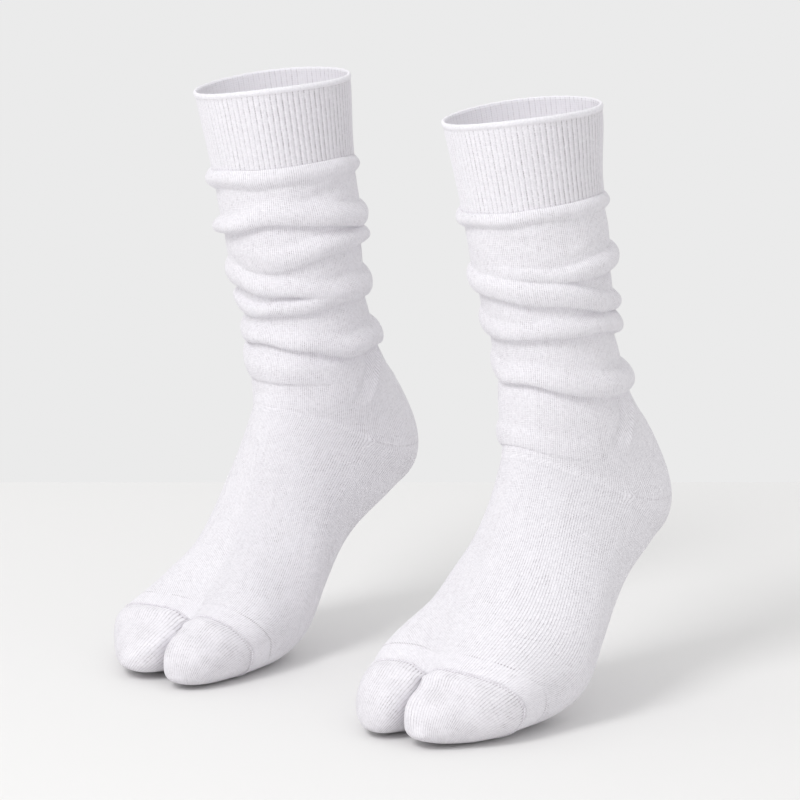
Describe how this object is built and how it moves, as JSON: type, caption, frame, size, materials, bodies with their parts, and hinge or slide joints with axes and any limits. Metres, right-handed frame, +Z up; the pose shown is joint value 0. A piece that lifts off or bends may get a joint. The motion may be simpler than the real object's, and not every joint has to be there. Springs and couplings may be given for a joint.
{
  "type": "pair of tabi socks",
  "caption": "Pair of white cotton-knit split-toe socks with ribbed cuffs and slouched legs, hollow and filled out as if worn on tiptoe.",
  "frame": {"origin": "centre of the left sock's cuff opening, where the wearer's calf fills and holds it; the floor that the toes touch is 0.358 m below", "axes": "+Z up, -Y towards the toes, +X towards the wearer's left, where the left sock stands"},
  "size_m": [0.3336, 0.2611, 0.3634],
  "materials": {
    "rib_knit": "white cotton in fine single ribs, matt",
    "plain_knit": "white cotton in plain stocking stitch, matt, slightly fuzzy"
  },
  "bodies": {
    "root": {"right_cuff": "rib_knit", "right_leg": "plain_knit", "right_heel": "plain_knit", "right_foot": "plain_knit", "right_toe_band": "plain_knit", "right_big_toe": "plain_knit", "right_small_toes": "plain_knit", "left_cuff": "rib_knit", "left_leg": "plain_knit", "left_heel": "plain_knit", "left_foot": "plain_knit", "left_toe_band": "plain_knit", "left_big_toe": "plain_knit", "left_small_toes": "plain_knit"}
  },
  "joints": []
}
